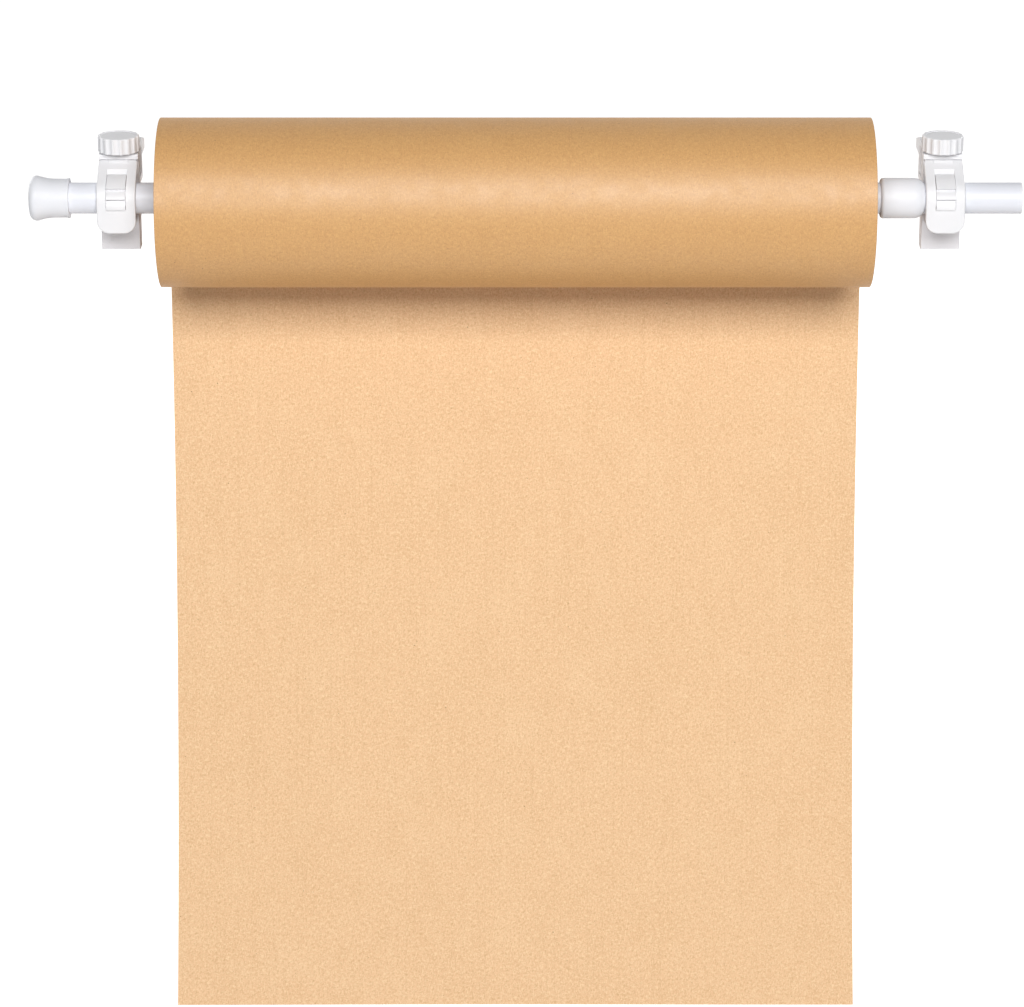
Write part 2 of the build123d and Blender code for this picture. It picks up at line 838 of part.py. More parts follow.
# Paper roll on its core, hanging on the rod, and the sheet that comes off its back
with BuildPart() as paper_core:
    with BuildSketch(profile_plane(roll_start)):
        with Locations((0, -roll_sag)):
            Circle(core_radius + core_wall)
            Circle(core_radius, mode=Mode.SUBTRACT)
    extrude(amount=roll_length)
save(paper_core, "paper_core")

with BuildPart() as paper_roll:
    with BuildSketch(profile_plane(roll_start)):
        with Locations((0, -roll_sag)):
            Circle(roll_radius)
            Circle(core_radius + core_wall, mode=Mode.SUBTRACT)
    extrude(amount=roll_length)
save(paper_roll, "paper_roll")

curl_radius = (sheet_drop**2 + sheet_curl**2) / (2 * sheet_curl)
curl_angle = degrees(asin(sheet_drop / curl_radius))
curl_centre = Vector(roll_radius + sheet_clearance - curl_radius, -roll_sag)

with BuildPart() as paper_sheet:
    with BuildSketch(profile_plane(roll_middle)):
        with BuildLine():
            front_face = CenterArc(curl_centre, curl_radius, 0, -curl_angle)
            back_face = CenterArc(curl_centre, curl_radius + paper_thickness, 0, -curl_angle)
            Line(front_face @ 0, back_face @ 0)
            Line(front_face @ 1, back_face @ 1)
        make_face()
    extrude(amount=roll_length / 2, both=True)
save(paper_sheet, "paper_sheet")
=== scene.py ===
"""Looks of a table-edge paper roll holder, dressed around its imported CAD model."""

import logging
import math
import random
from dataclasses import dataclass, field
from enum import Enum

import bmesh
import bpy
from mathutils import Matrix, Vector


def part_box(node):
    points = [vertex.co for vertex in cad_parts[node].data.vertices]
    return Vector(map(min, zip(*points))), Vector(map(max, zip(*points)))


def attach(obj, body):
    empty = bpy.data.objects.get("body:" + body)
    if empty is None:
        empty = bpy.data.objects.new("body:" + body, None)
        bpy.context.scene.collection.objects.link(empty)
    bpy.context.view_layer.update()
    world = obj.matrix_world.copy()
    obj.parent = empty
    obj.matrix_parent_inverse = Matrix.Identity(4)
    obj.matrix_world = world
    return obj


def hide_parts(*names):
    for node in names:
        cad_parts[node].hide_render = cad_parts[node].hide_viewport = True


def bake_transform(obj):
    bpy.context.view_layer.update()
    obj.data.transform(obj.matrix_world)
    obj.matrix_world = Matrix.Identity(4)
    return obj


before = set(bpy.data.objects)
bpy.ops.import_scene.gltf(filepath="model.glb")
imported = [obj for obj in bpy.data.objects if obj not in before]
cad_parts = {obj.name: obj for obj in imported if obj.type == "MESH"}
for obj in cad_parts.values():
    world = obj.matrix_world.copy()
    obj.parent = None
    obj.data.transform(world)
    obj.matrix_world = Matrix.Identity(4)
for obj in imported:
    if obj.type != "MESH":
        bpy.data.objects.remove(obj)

logging.basicConfig(level=logging.INFO, format="%(message)s")
LOG = logging.getLogger("paper_roll_holder")

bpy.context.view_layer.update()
MM = 0.001
X_AXIS = Vector((1, 0, 0))
Z_AXIS = Vector((0, 0, 1))

Colour = tuple[float, float, float]
Triple = tuple[float, float, float]
Span = tuple[float, float]
Socket = bpy.types.NodeSocket


class Pattern(Enum):
    """Which coordinates the marks of a finish follow."""

    SOLID = "Object"
    SURFACE = "UV"


class Side(Enum):
    """The two clamps."""

    LEFT = "left"
    RIGHT = "right"


@dataclass(frozen=True)
class Fleck:
    """One layer of marks in a finish: clouds, fibres, specks or drawn lines.

    Sizes are in metres; a mark is stretched along its own axes after it is turned about Z.
    """

    size: float
    colour: Colour
    strength: float
    start: float = 0.5
    stop: float = 0.75
    stretch: Triple = (1, 1, 1)
    turn: float = 0.0
    detail: float = 2.0


@dataclass(frozen=True)
class Grain:
    """Fine relief of a surface."""

    size: float
    height: float
    strength: float = 0.4
    stretch: Triple = (1, 1, 1)
    detail: float = 3.0


@dataclass(frozen=True)
class Finish:
    """A surface finish that becomes a procedural material."""

    name: str
    slot: str
    colour: Colour
    roughness: float
    spread: float = 0.06
    metallic: float = 0.0
    specular: float = 0.5
    pattern: Pattern = Pattern.SOLID
    flecks: tuple[Fleck, ...] = ()
    grains: tuple[Grain, ...] = ()

    def material(self) -> bpy.types.Material:
        """Give the finish's material, made on its first use.

        Returns:
            The Blender material.
        """
        made = bpy.data.materials.get(self.name)
        return made if made else FinishNodes(self).build()


@dataclass(frozen=True)
class FadedFinish(Finish):
    """A finish whose colour changes along its map: the hanging paper's paler painted-light colour gives
    way to the roll's own colour where it wraps on the roll.
    """

    fade_tint: Colour = (0.7, 0.55, 0.35)
    fade_specular: float = 1.0
    fade_start: float = -0.045
    fade_stop: float = -0.005


@dataclass(frozen=True)
class LayeredFinish(Finish):
    """A finish whose edge shows wound layers as rings round an axis along X."""

    centre: Triple = (0, 0, 0)
    ring_pitch: float = 0.0006
    ring_colour: Colour = (0.3, 0.2, 0.1)
    ring_strength: float = 0.5


class FinishNodes:
    """Builds the shader nodes of one finish."""

    noise_roughness = 0.55
    cloud_size = 0.012
    cloud_detail = 3.0
    cloud_span = (0.3, 0.7)
    ring_wobble = 2.4
    ring_detail = 2.0
    ring_detail_scale = 0.4
    ring_span = (0.3, 0.9)

    def __init__(self, finish: Finish) -> None:
        """Start an empty material with a shader.

        Args:
            finish: The finish to build.
        """
        self.finish = finish
        self.material = bpy.data.materials.new(finish.name)
        self.material.use_nodes = True
        self.tree = self.material.node_tree
        self.tree.nodes.clear()
        self.shader = self.tree.nodes.new("ShaderNodeBsdfPrincipled")
        output = self.tree.nodes.new("ShaderNodeOutputMaterial")
        self.tree.links.new(self.shader.outputs["BSDF"], output.inputs["Surface"])
        self.source = self.tree.nodes.new("ShaderNodeTexCoord").outputs[finish.pattern.value]

    def marks(self, size: float, stretch: Triple, turn: float, detail: float) -> Socket:
        """Add a noise whose marks have a size, a stretch and a direction.

        Args:
            size: Width of a mark in metres.
            stretch: How many times longer a mark is along each axis.
            turn: Turn about Z in degrees.
            detail: Noise detail.

        Returns:
            The noise value's socket.
        """
        mapping = self.tree.nodes.new("ShaderNodeMapping")
        mapping.vector_type = "TEXTURE"
        mapping.inputs["Rotation"].default_value = (0, 0, math.radians(turn))
        mapping.inputs["Scale"].default_value = tuple(size * s for s in stretch)
        self.tree.links.new(self.source, mapping.inputs["Vector"])
        noise = self.tree.nodes.new("ShaderNodeTexNoise")
        noise.inputs["Scale"].default_value = 1.0
        noise.inputs["Detail"].default_value = detail
        noise.inputs["Roughness"].default_value = self.noise_roughness
        self.tree.links.new(mapping.outputs["Vector"], noise.inputs["Vector"])
        return noise.outputs["Fac"]

    def spread(self, value: Socket, span: Span, out: Span) -> Socket:
        """Map a value from one span to another.

        Args:
            value: Socket to map.
            span: Lowest and highest value going in.
            out: Lowest and highest value coming out.

        Returns:
            The mapped value's socket.
        """
        node = self.tree.nodes.new("ShaderNodeMapRange")
        node.interpolation_type = "SMOOTHSTEP"
        node.inputs["From Min"].default_value, node.inputs["From Max"].default_value = span
        node.inputs["To Min"].default_value, node.inputs["To Max"].default_value = out
        self.tree.links.new(value, node.inputs["Value"])
        return node.outputs["Result"]

    def paint(self, base: Socket | None, amount: Socket, colour: Colour) -> Socket:
        """Lay a colour over what is there.

        Args:
            base: Colour so far, or None for the finish's own colour.
            amount: How much of the new colour shows.
            colour: The new colour.

        Returns:
            The mixed colour's socket.
        """
        node = self.tree.nodes.new("ShaderNodeMix")
        node.data_type = "RGBA"
        if base is None:
            node.inputs["A"].default_value = (*self.finish.colour, 1)
        else:
            self.tree.links.new(base, node.inputs["A"])
        node.inputs["B"].default_value = (*colour, 1)
        self.tree.links.new(amount, node.inputs["Factor"])
        return node.outputs["Result"]

    def rings(self, finish: LayeredFinish) -> Socket:
        """Add the rings of wound layers.

        Args:
            finish: The layered finish.

        Returns:
            The ring value's socket.
        """
        mapping = self.tree.nodes.new("ShaderNodeMapping")
        mapping.vector_type = "POINT"
        mapping.inputs["Location"].default_value = tuple(-c for c in finish.centre)
        self.tree.links.new(self.source, mapping.inputs["Vector"])
        wave = self.tree.nodes.new("ShaderNodeTexWave")
        wave.wave_type = "RINGS"
        wave.rings_direction = "X"
        wave.inputs["Scale"].default_value = math.tau / (20 * finish.ring_pitch)
        wave.inputs["Distortion"].default_value = self.ring_wobble
        wave.inputs["Detail"].default_value = self.ring_detail
        wave.inputs["Detail Scale"].default_value = self.ring_detail_scale
        self.tree.links.new(mapping.outputs["Vector"], wave.inputs["Vector"])
        return wave.outputs["Fac"]

    def fade(self, finish: FadedFinish, base: Socket) -> Socket:
        """Tint the paler painted-light colour back to the roll's own colour and raise the shine along the
        map's second direction.

        Args:
            finish: The faded finish.
            base: Colour so far.

        Returns:
            The tinted colour's socket.
        """
        parts = self.tree.nodes.new("ShaderNodeSeparateXYZ")
        self.tree.links.new(self.source, parts.inputs["Vector"])
        span = (finish.fade_start, finish.fade_stop)
        shine = self.spread(parts.outputs["Y"], span, (finish.specular, finish.fade_specular))
        self.tree.links.new(shine, self.shader.inputs["Specular IOR Level"])
        amount = self.spread(parts.outputs["Y"], span, (0.0, 1.0))
        tinted = self.paint(base, amount, finish.fade_tint)
        tinted.node.blend_type = "MULTIPLY"
        return tinted

    def relief(self) -> None:
        """Chain the finish's grains into the shader's normal."""
        normal = None
        for grain in self.finish.grains:
            bump = self.tree.nodes.new("ShaderNodeBump")
            bump.inputs["Strength"].default_value = grain.strength
            bump.inputs["Distance"].default_value = grain.height
            height = self.marks(grain.size, grain.stretch, 0.0, grain.detail)
            self.tree.links.new(height, bump.inputs["Height"])
            if normal is not None:
                self.tree.links.new(normal, bump.inputs["Normal"])
            normal = bump.outputs["Normal"]
        if normal is not None:
            self.tree.links.new(normal, self.shader.inputs["Normal"])

    def build(self) -> bpy.types.Material:
        """Set the constants, then link the colour, roughness and relief.

        Returns:
            The finished material.
        """
        finish = self.finish
        inputs = self.shader.inputs
        inputs["Metallic"].default_value = finish.metallic
        inputs["Specular IOR Level"].default_value = finish.specular
        colour = None
        for fleck in finish.flecks:
            value = self.marks(fleck.size, fleck.stretch, fleck.turn, fleck.detail)
            amount = self.spread(value, (fleck.start, fleck.stop), (0.0, fleck.strength))
            colour = self.paint(colour, amount, fleck.colour)
        if isinstance(finish, FadedFinish):
            colour = self.fade(finish, colour)
        if isinstance(finish, LayeredFinish):
            amount = self.spread(self.rings(finish), self.ring_span, (0.0, finish.ring_strength))
            colour = self.paint(colour, amount, finish.ring_colour)
        if colour is None:
            inputs["Base Color"].default_value = (*finish.colour, 1)
        else:
            self.tree.links.new(colour, inputs["Base Color"])
        cloud = self.marks(self.cloud_size, (1, 1, 1), 0.0, self.cloud_detail)
        rough = (finish.roughness - finish.spread, finish.roughness + finish.spread)
        self.tree.links.new(self.spread(cloud, self.cloud_span, rough), inputs["Roughness"])
        self.relief()
        self.material.diffuse_color = (*finish.colour, 1)
        return self.material


def moulded(name: str, slot: str, colour: Colour, roughness: float) -> Finish:
    """Describe a moulded plastic: faint flow clouds, tiny specks and a fine skin.

    Args:
        name: Material name.
        slot: The record's material slot.
        colour: Colour in linear light.
        roughness: Middle roughness.

    Returns:
        The finish.
    """
    darker = tuple(0.93 * c for c in colour)
    speck = tuple(0.8 * c for c in colour)
    return Finish(
        name=name,
        slot=slot,
        colour=colour,
        roughness=roughness,
        flecks=(
            Fleck(0.018, darker, 0.35, 0.45, 0.75),
            Fleck(0.0009, speck, 0.25, 0.7, 0.82),
        ),
        grains=(Grain(0.0007, 0.00004, 0.35), Grain(0.006, 0.00008, 0.2)),
    )


def metal(
    name: str,
    slot: str,
    colour: Colour,
    roughness: float,
    along: Triple,
    metallic: float = 1.0,
    lines: float = 0.3,
) -> Finish:
    """Describe a drawn or turned metal with fine lines along one axis.

    Args:
        name: Material name.
        slot: The record's material slot.
        colour: Colour in linear light.
        roughness: Middle roughness.
        along: How far the lines stretch along each axis.
        metallic: Share of bare metal.
        lines: Strength of the lines.

    Returns:
        The finish.
    """
    darker = tuple(0.72 * c for c in colour)
    lighter = tuple(min(1.0, 1.12 * c) for c in colour)
    return Finish(
        name=name,
        slot=slot,
        colour=colour,
        roughness=roughness,
        spread=0.08,
        metallic=metallic,
        flecks=(
            Fleck(0.0004, darker, lines, 0.45, 0.75, along),
            Fleck(0.0007, lighter, lines, 0.5, 0.75, along),
            Fleck(0.012, darker, 0.8 * lines, 0.5, 0.8),
        ),
        grains=(Grain(0.0003, 0.00003, 0.3, along),),
    )


WOUND_KRAFT = (0.6, 0.318, 0.105)
# Painted light: a paler, lit copy of the roll's kraft for the hanging sheet, standing in for light through
# the thin sheet and its sheen.
PAINTED_LIGHT_KRAFT = (0.885, 0.575, 0.33)
DEEP_KRAFT = (0.3, 0.145, 0.05)


def kraft_flecks(base: Colour) -> tuple[Fleck, ...]:
    """Give the marks of kraft paper: clouds, crossed fibres, specks and faint drawn streaks.

    Args:
        base: The paper's colour: the roll's own, or the hanging sheet's paler painted-light copy.

    Returns:
        The layers of marks, widest first.
    """
    light = tuple(min(1.0, share * c) for share, c in zip((1.16, 1.28, 1.38), base))
    dark = tuple(share * c for share, c in zip((0.74, 0.66, 0.52), base))
    deep = tuple(share * c for share, c in zip((0.36, 0.27, 0.17), base))
    return (
        Fleck(0.09, dark, 0.1, 0.45, 0.75, detail=3.0),
        Fleck(0.03, light, 0.14, 0.48, 0.72, (1, 1.4, 1), 25),
        Fleck(0.012, dark, 0.18, 0.45, 0.8, (1, 1.8, 1), detail=4.0),
        Fleck(0.004, dark, 0.14, 0.48, 0.72, (0.4, 40, 1)),
        Fleck(0.0008, light, 0.62, 0.48, 0.66, (1, 3, 1), 10),
        Fleck(0.0008, dark, 0.46, 0.5, 0.68, (1, 3, 1), -16),
        Fleck(0.0006, light, 0.55, 0.52, 0.68, (1, 7, 1), 76),
        Fleck(0.0006, dark, 0.4, 0.54, 0.7, (1, 7, 1), -66),
        Fleck(0.0014, dark, 0.24, 0.5, 0.68),
        Fleck(0.0017, deep, 0.8, 0.735, 0.77, (1, 1.7, 1), 50),
    )


KRAFT_GRAINS = (Grain(0.0009, 0.00003, 0.12, (1, 3, 1)),)


class Finishes:
    """Every finish of the holder."""

    white_plastic = moulded("satin_white_plastic", "white_plastic", (0.87, 0.87, 0.89), 0.48)
    white_cap = moulded("soft_white_plastic", "white_cap", (0.85, 0.86, 0.9), 0.5)
    grey_plastic = moulded("grey_plastic", "grey_jaw", (0.4, 0.39, 0.4), 0.45)
    rubber = moulded("black_rubber", "pad_rubber", (0.018, 0.018, 0.02), 0.8)
    tube = Finish(
        name="coated_tube",
        slot="white_tube",
        colour=(0.825, 0.84, 0.9),
        roughness=0.44,
        flecks=(
            Fleck(0.004, (0.85, 0.865, 0.925), 0.3, 0.5, 0.75, (14, 1, 1)),
            Fleck(0.0008, (0.7, 0.71, 0.77), 0.2, 0.68, 0.8),
        ),
        grains=(Grain(0.0016, 0.00003, 0.3),),
    )
    column = metal("brushed_grey_column", "grey_column", (0.73, 0.715, 0.735), 0.46, (1, 1, 40), 0.2, 0.08)
    steel = metal("zinc_steel", "steel", (0.6, 0.6, 0.62), 0.32, (12, 12, 1))
    brass = metal("turned_brass", "brass", (0.72, 0.5, 0.2), 0.3, (12, 12, 1))
    wound_kraft = Finish(
        name="wound_fibrous_kraft",
        slot="kraft_paper",
        colour=WOUND_KRAFT,
        roughness=0.53,
        spread=0.03,
        specular=1.0,
        pattern=Pattern.SURFACE,
        flecks=kraft_flecks(WOUND_KRAFT),
        grains=KRAFT_GRAINS,
    )
    # The hanging sheet wears the paler painted-light copy of the kraft, faded back to the roll's own
    # colour where it wraps on the roll.
    sheet_painted_light = FadedFinish(
        name="sheet_kraft_painted_light",
        slot="kraft_paper",
        colour=PAINTED_LIGHT_KRAFT,
        roughness=0.6,
        specular=0.2,
        pattern=Pattern.SURFACE,
        flecks=kraft_flecks(PAINTED_LIGHT_KRAFT),
        grains=KRAFT_GRAINS,
        fade_tint=tuple(wound / hanging for wound, hanging in zip(WOUND_KRAFT, PAINTED_LIGHT_KRAFT)),
    )


@dataclass
class Piece:
    """A new piece of the holder, made from a bmesh."""

    name: str
    body: str
    finishes: tuple[Finish, ...]
    replaced: tuple[str, ...]
    crease: float = math.radians(32)

    def show(self, shape: bmesh.types.BMesh) -> bpy.types.Object:
        """Turn a bmesh into a shaded object with its materials.

        Args:
            shape: The bmesh, which is freed.

        Returns:
            The object, at the origin, with its place in its mesh.
        """
        for face in shape.faces:
            face.smooth = True
        for edge in shape.edges:
            edge.smooth = len(edge.link_faces) == 2 and edge.calc_face_angle(0.0) < self.crease
        mesh = bpy.data.meshes.new(self.name)
        shape.to_mesh(mesh)
        shape.free()
        for finish in self.finishes:
            mesh.materials.append(finish.material())
        item = bpy.data.objects.new(self.name, mesh)
        bpy.context.scene.collection.objects.link(item)
        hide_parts(*self.replaced)
        LOG.info("made %s with %d faces", self.name, len(mesh.polygons))
        return item


def dress(node: str, finish: Finish) -> None:
    """Give a CAD node its finish.

    Args:
        node: Name of the CAD node.
        finish: The finish to wear.
    """
    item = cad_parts[node]
    item.data.materials.clear()
    item.data.materials.append(finish.material())
    LOG.info("dressed %s in %s", node, finish.name)


@dataclass
class TableClamp:
    """One clamp: the CAD pieces in their finishes, and a screw with a real thread.

    The thread's profile is in shares of its lead and of its depth.
    """

    side: Side
    lead: float = 2.0 * MM
    thread_depth: float = 0.55 * MM
    thread_steps: int = 28
    thread_profile: tuple[Span, ...] = ((0.0, 0.0), (0.22, 0.0), (0.42, 1.0), (0.8, 1.0))
    thread_weld: float = 0.01 * MM
    pivot_radius: float = 2.0 * MM
    pivot_length: float = 2.6 * MM
    chamfer: float = 0.4 * MM
    finishes: dict[str, Finish] = field(
        default_factory=lambda: {
            "clamp_head": Finishes.white_plastic,
            "column": Finishes.column,
            "head_screws": Finishes.steel,
            "rod_saddle": Finishes.white_plastic,
            "saddle_screws": Finishes.steel,
            "upper_pad": Finishes.rubber,
            "lower_pad": Finishes.rubber,
            "lower_jaw": Finishes.grey_plastic,
            "jaw_nut": Finishes.brass,
            "screw_bearing": Finishes.grey_plastic,
            "thrust_washer": Finishes.steel,
            "knob": Finishes.white_plastic,
            "rod_gate": Finishes.white_plastic,
            "hinge_pin": Finishes.steel,
            "lock_slider": Finishes.white_plastic,
            "lock_shoe": Finishes.rubber,
        }
    )

    def node(self, name: str) -> str:
        """Give a node's full name on this side."""
        return f"{self.side.value}_{name}"

    def build(self) -> None:
        """Dress the CAD pieces and make the screw."""
        for name, finish in self.finishes.items():
            dress(self.node(name), finish)
        self.screw()

    def screw(self) -> bpy.types.Object:
        """Model the clamp screw: a thread spun up its length, cut flat, on a plain pivot.

        Returns:
            The screw.
        """
        low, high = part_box(self.node("clamp_screw"))
        centre = (low + high) / 2
        radius = (high.x - low.x) / 2
        bottom = low.z + self.pivot_length
        shape = bmesh.new()
        turns = math.ceil((high.z - bottom) / self.lead) + 3
        root = radius - self.thread_depth
        points = []
        for turn in range(turns):
            start = bottom + (turn - 2) * self.lead
            for share, rise in self.thread_profile:
                out = root + rise * self.thread_depth
                points.append(shape.verts.new((centre.x + out, centre.y, start + share * self.lead)))
        chain = [shape.edges.new(pair) for pair in zip(points, points[1:])]
        bmesh.ops.spin(
            shape,
            geom=points + chain,
            cent=centre,
            axis=Z_AXIS,
            dvec=Z_AXIS * (self.lead / self.thread_steps),
            angle=math.tau,
            steps=self.thread_steps,
            use_merge=False,
        )
        bmesh.ops.remove_doubles(shape, verts=shape.verts, dist=self.thread_weld)
        for height, normal in ((bottom, -Z_AXIS), (high.z, Z_AXIS)):
            bmesh.ops.bisect_plane(
                shape,
                geom=shape.verts[:] + shape.edges[:] + shape.faces[:],
                plane_co=(0, 0, height),
                plane_no=normal,
                clear_outer=True,
            )
        rims = [edge for edge in shape.edges if edge.is_boundary]
        bmesh.ops.holes_fill(shape, edges=rims, sides=0)
        bmesh.ops.create_cone(
            shape,
            cap_ends=True,
            segments=self.thread_steps,
            radius1=self.pivot_radius - self.chamfer,
            radius2=self.pivot_radius,
            depth=self.pivot_length,
            matrix=Matrix.Translation((centre.x, centre.y, low.z + self.pivot_length / 2)),
        )
        bmesh.ops.recalc_face_normals(shape, faces=shape.faces)
        name, body, replaced = map(self.node, ("threaded_screw", "knob", "clamp_screw"))
        piece = Piece(name, body, (Finishes.steel,), (replaced,))
        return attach(piece.show(shape), piece.body)


@dataclass
class TelescopicRod:
    """The rod, its foot, collar and what grips inside."""

    finishes: dict[str, Finish] = field(
        default_factory=lambda: {
            "outer_tube": Finishes.tube,
            "inner_tube": Finishes.tube,
            "end_sleeve": Finishes.tube,
            "rod_foot": Finishes.white_cap,
            "end_plug": Finishes.white_cap,
            "lock_collar": Finishes.white_cap,
            "lock_bush": Finishes.grey_plastic,
            "grip_ring": Finishes.grey_plastic,
        }
    )

    def build(self) -> None:
        """Dress the rod's CAD pieces."""
        for name, finish in self.finishes.items():
            dress(name, finish)


@dataclass
class PaperRoll:
    """The wound roll, with the layers showing at its ends, on its cardboard core."""

    layers: int = 34
    layer_fill: float = 0.92
    unevenness: float = 0.45 * MM
    edge_round: float = 0.25 * MM
    edge_lip: float = 0.1
    core_gap: float = 0.02 * MM
    end_facing: float = 0.3
    steps: int = 160
    seed: int = 7

    def __post_init__(self) -> None:
        """Read the roll's place from the CAD model."""
        low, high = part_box("paper_roll")
        core_low, core_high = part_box("paper_core")
        self.start, self.end = low.x, high.x
        self.centre = Vector((0, (low.y + high.y) / 2, (low.z + high.z) / 2))
        self.radius = (high.z - low.z) / 2
        self.core_radius = (core_high.z - core_low.z) / 2

    def ends_finish(self) -> LayeredFinish:
        """Give the finish of the wound paper's cut edges.

        Returns:
            The finish, with its rings round the roll's axis.
        """
        return LayeredFinish(
            name="paper_layers",
            slot="kraft_paper",
            colour=(0.72, 0.47, 0.27),
            roughness=0.85,
            specular=0.2,
            flecks=(
                Fleck(0.006, (0.6, 0.34, 0.15), 0.35, 0.4, 0.75),
                Fleck(0.0008, DEEP_KRAFT, 0.3, 0.62, 0.76),
            ),
            grains=(Grain(0.0006, 0.00012, 0.5),),
            centre=tuple(self.centre),
            ring_pitch=0.00062,
            ring_colour=DEEP_KRAFT,
            ring_strength=0.55,
        )

    def core_finish(self) -> LayeredFinish:
        """Give the finish of the wound cardboard core.

        Returns:
            The finish, with its rings round the roll's axis.
        """
        return LayeredFinish(
            name="wound_board",
            slot="core_board",
            colour=(0.42, 0.27, 0.15),
            roughness=0.85,
            specular=0.2,
            flecks=(
                Fleck(0.005, (0.3, 0.18, 0.09), 0.5, 0.4, 0.75),
                Fleck(0.0008, (0.6, 0.43, 0.28), 0.45, 0.6, 0.76, (4, 1, 1)),
            ),
            grains=(Grain(0.0009, 0.0001, 0.4),),
            centre=tuple(self.centre),
            ring_pitch=0.0008,
            ring_colour=(0.22, 0.13, 0.06),
            ring_strength=0.6,
        )

    def end_profile(self, draws: random.Random, side: float) -> list[tuple[float, float]]:
        """Give one end's steps, from the core out to the rounded outer edge.

        Args:
            draws: Seeded random numbers.
            side: 1 where the end faces left, -1 where it faces right.

        Returns:
            Pairs of place along the rod and radius.
        """
        edge = self.start if side > 0 else self.end
        inner = self.core_radius + self.core_gap
        pitch = (self.radius - self.edge_round - inner) / self.layers
        points = []
        for layer in range(self.layers):
            place = edge + side * draws.random() * self.unevenness
            points.append((place, inner + layer * pitch))
            points.append((place, inner + (layer + self.layer_fill) * pitch))
        points.append((edge + side * self.edge_lip * self.edge_round, self.radius - self.edge_round))
        points.append((edge + side * self.edge_round, self.radius))
        return points

    def build(self) -> bpy.types.Object:
        """Spin the roll's profile round its axis and dress the core.

        Returns:
            The roll.
        """
        dress("paper_core", self.core_finish())
        draws = random.Random(self.seed)
        profile = self.end_profile(draws, 1) + self.end_profile(draws, -1)[::-1]
        shape = bmesh.new()
        points = [shape.verts.new((x, self.centre.y, self.centre.z + r)) for x, r in profile]
        chain = [shape.edges.new(pair) for pair in zip(points, points[1:] + points[:1])]
        bmesh.ops.spin(
            shape,
            geom=points + chain,
            cent=self.centre,
            axis=X_AXIS,
            angle=math.tau,
            steps=self.steps,
            use_merge=True,
        )
        bmesh.ops.recalc_face_normals(shape, faces=shape.faces)
        self.unroll(shape)
        piece = Piece("wound_roll", "roll", (Finishes.wound_kraft, self.ends_finish()), ("paper_roll",))
        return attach(piece.show(shape), piece.body)

    def unroll(self, shape: bmesh.types.BMesh) -> None:
        """Lay the outer turn flat in a UV map in metres, and mark the ends for their own finish.

        Args:
            shape: The roll's bmesh.
        """
        layer = shape.loops.layers.uv.new("paper")
        for face in shape.faces:
            face.material_index = 1 if abs(face.normal.x) > self.end_facing else 0
            middle = face.calc_center_median() - self.centre
            base = math.atan2(middle.z, middle.y)
            for loop in face.loops:
                spot = loop.vert.co - self.centre
                turn = math.atan2(spot.z, spot.y)
                turn += math.tau * round((base - turn) / math.tau)
                loop[layer].uv = (loop.vert.co.x, turn * self.radius)


@dataclass(frozen=True)
class Wave:
    """A slow ripple of the hanging paper, counted across its width and down its length."""

    across: float
    down: float
    phase: float
    height: float

    def at(self, across: float, down: float) -> float:
        """Give the ripple's height at one place.

        Args:
            across: Share of the paper's width.
            down: Length down the paper in metres.

        Returns:
            The height, as a share of the ripple's own.
        """
        return self.height * math.sin(self.across * across + self.down * down + self.phase)


